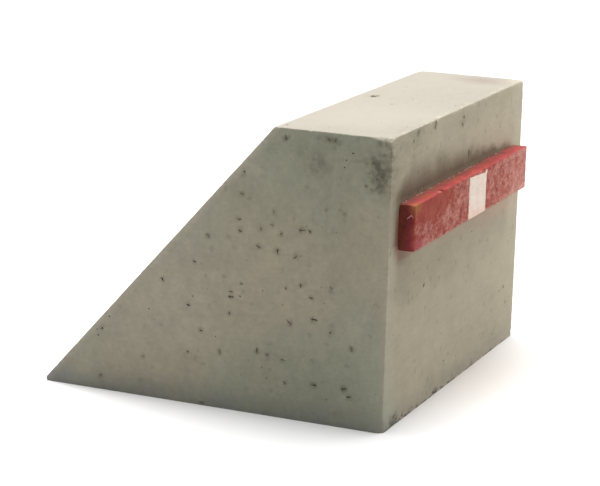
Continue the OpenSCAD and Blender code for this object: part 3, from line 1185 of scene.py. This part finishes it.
# %% The top and the ends
def top_colours(mat, top, torn):
    """The deep red top: a painted highlight on the lip, painted shade at the back, a painted glint, a
    chip darkened by painted shade, and a dusty ledge.
    """
    tint = mat.fade(mat.clouds(7.0, 3.0, 0.6, stretch=(0.6, 1.0, 1.0)), 0.42, 0.58)
    mat.lay(mat.mix(tint, TOP_RED, TOP_ORANGE), top, 0.85)
    lumps = mat.clouds(34.0, 4.0, 0.6, stretch=(0.6, 1.0, 1.0))
    # A painted highlight along the front arris of the top.
    lip = mat.times(top, mat.beside("Y", FRONT, 0.034, 0.004))
    mat.lay(LIP_HIGHLIGHT, lip, mat.fade(lumps, 0.44, 0.58))
    # Painted shade at the back of the top, by the concrete.
    back = mat.times(top, mat.beside("Y", FRONT, 0.025, 0.085))
    mat.lay(TOP_SHADE, back, mat.fade(lumps, 0.62, 0.46))
    # A painted glint, and painted shade in the chip beside it.
    glint = mat.spot((-0.64, FRONT + 0.014, beam_high.z), 0.022, torn, full=0.6)
    mat.lay(FRAYED_PINK, glint)
    chip = mat.spot((-0.592, FRONT + 0.018, beam_high.z), 0.03, torn)
    mat.lay(CRACK_RED, chip)
    crumbs = mat.fade(mat.clouds(48.0, 2.0, 0.6, stretch=(0.5, 1.0, 1.0)), 0.54, 0.58)
    ledge = mat.beside("Y", beam_high.y, -0.016, -0.006)
    mat.lay(LEDGE_DUST, crumbs, ledge, top)


def end_colours(mat, torn):
    """The two sawn ends, a patch of bare wood at a corner and a hair of fibre."""
    ends = mat.plus(
        mat.beside("X", beam_low.x, 0.01, 0.002), mat.beside("X", beam_high.x, -0.01, -0.002)
    )
    behind = mat.axis("Y", torn)
    off_front = mat.fade(behind, FRONT - 0.004, FRONT + 0.042, 0.1, 0.96)
    inner = mat.fade(behind, FRONT + 0.03, FRONT + 0.07)
    mat.lay(mat.mix(inner, END_RED, END_BROWN), ends, off_front)
    bare = (beam_low.x + 0.028, FRONT, beam_high.z - 0.018)
    mat.lay(BARE_OCHRE, mat.spot(bare, 0.062, torn, (0.6, 1.0, 0.8), 0.95))
    fibre = mat.plus(
        mat.stroke((beam_low.x, -1.208, 1.301), (beam_low.x, -1.234, 1.325), 0.0065),
        mat.stroke((beam_low.x, -1.234, 1.325), (beam_low.x, -1.249, 1.309), 0.0055),
    )
    mat.lay(FIBRE, fibre, ends)


# %% The finish of the painted beam
def paint_finish(name):
    """Red brush paint, chalky where it is rubbed, with the white band and a few marks."""
    mat = Finish(name)
    ragged = mat.stirred(22.0, 0.03)
    torn = mat.stirred(60.0, 0.012)
    front = mat.beside("Y", FRONT, 0.008, 0.003)
    top = mat.beside("Z", beam_high.z, -0.006, -0.002)
    smooth = mat.spots(SMOOTH_PLACES, ragged)
    patch = mat.clouds(12.0, 3.0, 0.6)
    mat.colour = mat.mix(mat.fade(patch, 0.35, 0.65), DEEP_RED, BRICK_RED)
    front_colours(mat, front, rubbed_share(mat, ragged, smooth), ragged, torn)
    band, height = band_share(mat, front, torn)
    mat.lay(white_paint(mat, height), band)
    top_colours(mat, top, torn)
    end_colours(mat, torn)
    off_band = mat.fade(band, 0.0, 1.0, 0.95, 0.3)
    uneven = mat.times(off_band, mat.fade(smooth, 0.02, 0.2, 1.0, 0.45))
    fine = mat.clouds(60.0, 4.0, 0.7, stretch=DRAWN_ALONG)
    mat.shade((fine, uneven), (patch, uneven))
    brushed = mat.clouds(90.0, 3.0, 0.6, stretch=(0.25, 1.0, 1.0))
    return mat.coat(mat.mix_number(front, 0.5, 0.7), 0.04, mat.relief(brushed, 0.0012))


paint = paint_finish("brush_paint")
beam_piece.data.materials.append(paint.material)
print("finish on the beam:", paint.material.name)

# %% [markdown]
# ## Floor, world and lamps
# A plain pale floor sends light back up to the upright faces. One broad lamp overhead, tilted a
# little to one side, does most of the work, and a soft fill lamp stands low in front on the far
# side. For the camera's rays alone the floor takes a lighter colour with a painted shadow, warmer
# and darker, in front of the block, and an ambient occlusion node darkens it close to the block, so
# the soft shadow at its foot stays.

# %% The floor
FLOOR_SENDS_BACK = (0.5, 0.5, 0.5)
FLOOR_AS_SEEN = (0.84, 0.84, 0.84)
FLOOR_SHADOW_IN_FRONT = (0.75, 0.72, 0.685)
CONTACT_REACH = 0.3
FLOOR_HALF = 80.0

floor_work = bmesh.new()
bmesh.ops.create_grid(floor_work, x_segments=1, y_segments=1, size=FLOOR_HALF)
floor = mesh_object(floor_work, "floor")
floor_finish = Finish("pale_floor")
occlusion = floor_finish.put("AmbientOcclusion", {"Distance": CONTACT_REACH})
contact = floor_finish.fade(occlusion.outputs["AO"], 0.0, 0.6, 0.72, 1.0)
# A painted shadow, warmer and darker, on the floor in front of the block, for camera rays only.
shadow_in_front = floor_finish.spot((0.2, front_y - 0.15, 0.0), 1.6, squash=(1.0, 1.7, 1.0))
seen_colour = floor_finish.mix(shadow_in_front, FLOOR_AS_SEEN, FLOOR_SHADOW_IN_FRONT)
as_seen = floor_finish.scaled(seen_colour, contact)
seen = straight_rays(floor_finish.tree)
floor_finish.colour = floor_finish.mix(seen, FLOOR_SENDS_BACK, as_seen)
floor_finish.coat(1.0, 0.0)
floor.data.materials.append(floor_finish.material)
print("floor of", floor.dimensions[0], "m")

# %% The world and the lamps
WORLD_FILL = 0.1
KEY_STRENGTH = 4.8
KEY_TILT = (0.0, math.radians(8.0), 0.0)
KEY_SPREAD = math.radians(50.0)
FILL_PLACE = Vector((3.6, -4.2, 1.0))
FILL_AIM = Vector((0.8, -1.1, 0.9))
FILL_POWER = 50.0
FILL_SIZE = 1.6

world = bpy.data.worlds.new("studio")
bpy.context.scene.world = world
world.use_nodes = True
world_tree = world.node_tree
background = world_tree.nodes["Background"]
world_level = world_tree.nodes.new("ShaderNodeMapRange")
world_tree.links.new(straight_rays(world_tree), world_level.inputs["Value"])
world_level.inputs["To Min"].default_value = WORLD_FILL
world_level.inputs["To Max"].default_value = 1.0
background.inputs["Color"].default_value = (1.0, 1.0, 1.0, 1.0)
world_tree.links.new(world_level.outputs["Result"], background.inputs["Strength"])

key = put_in_scene("key", bpy.data.lights.new("key", "SUN"))
key.data.energy = KEY_STRENGTH
key.data.angle = KEY_SPREAD
key.rotation_euler = KEY_TILT
fill = put_in_scene("fill", bpy.data.lights.new("fill", "AREA"))
fill.data.energy = FILL_POWER
fill.data.size = FILL_SIZE
fill.location = FILL_PLACE
fill.rotation_euler = (FILL_AIM - FILL_PLACE).to_track_quat("-Z", "Y").to_euler()
fill.visible_camera = False
bpy.context.scene.view_settings.view_transform = "Standard"
bpy.context.view_layer.update()
print("key lamp points along", rounded(key.matrix_world.to_3x3() @ Vector((0, 0, -1))))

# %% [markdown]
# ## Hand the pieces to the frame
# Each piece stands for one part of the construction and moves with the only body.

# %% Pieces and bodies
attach(block_piece, "root")
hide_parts("concrete_block")
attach(beam_piece, "root")
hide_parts("buffer_beam")
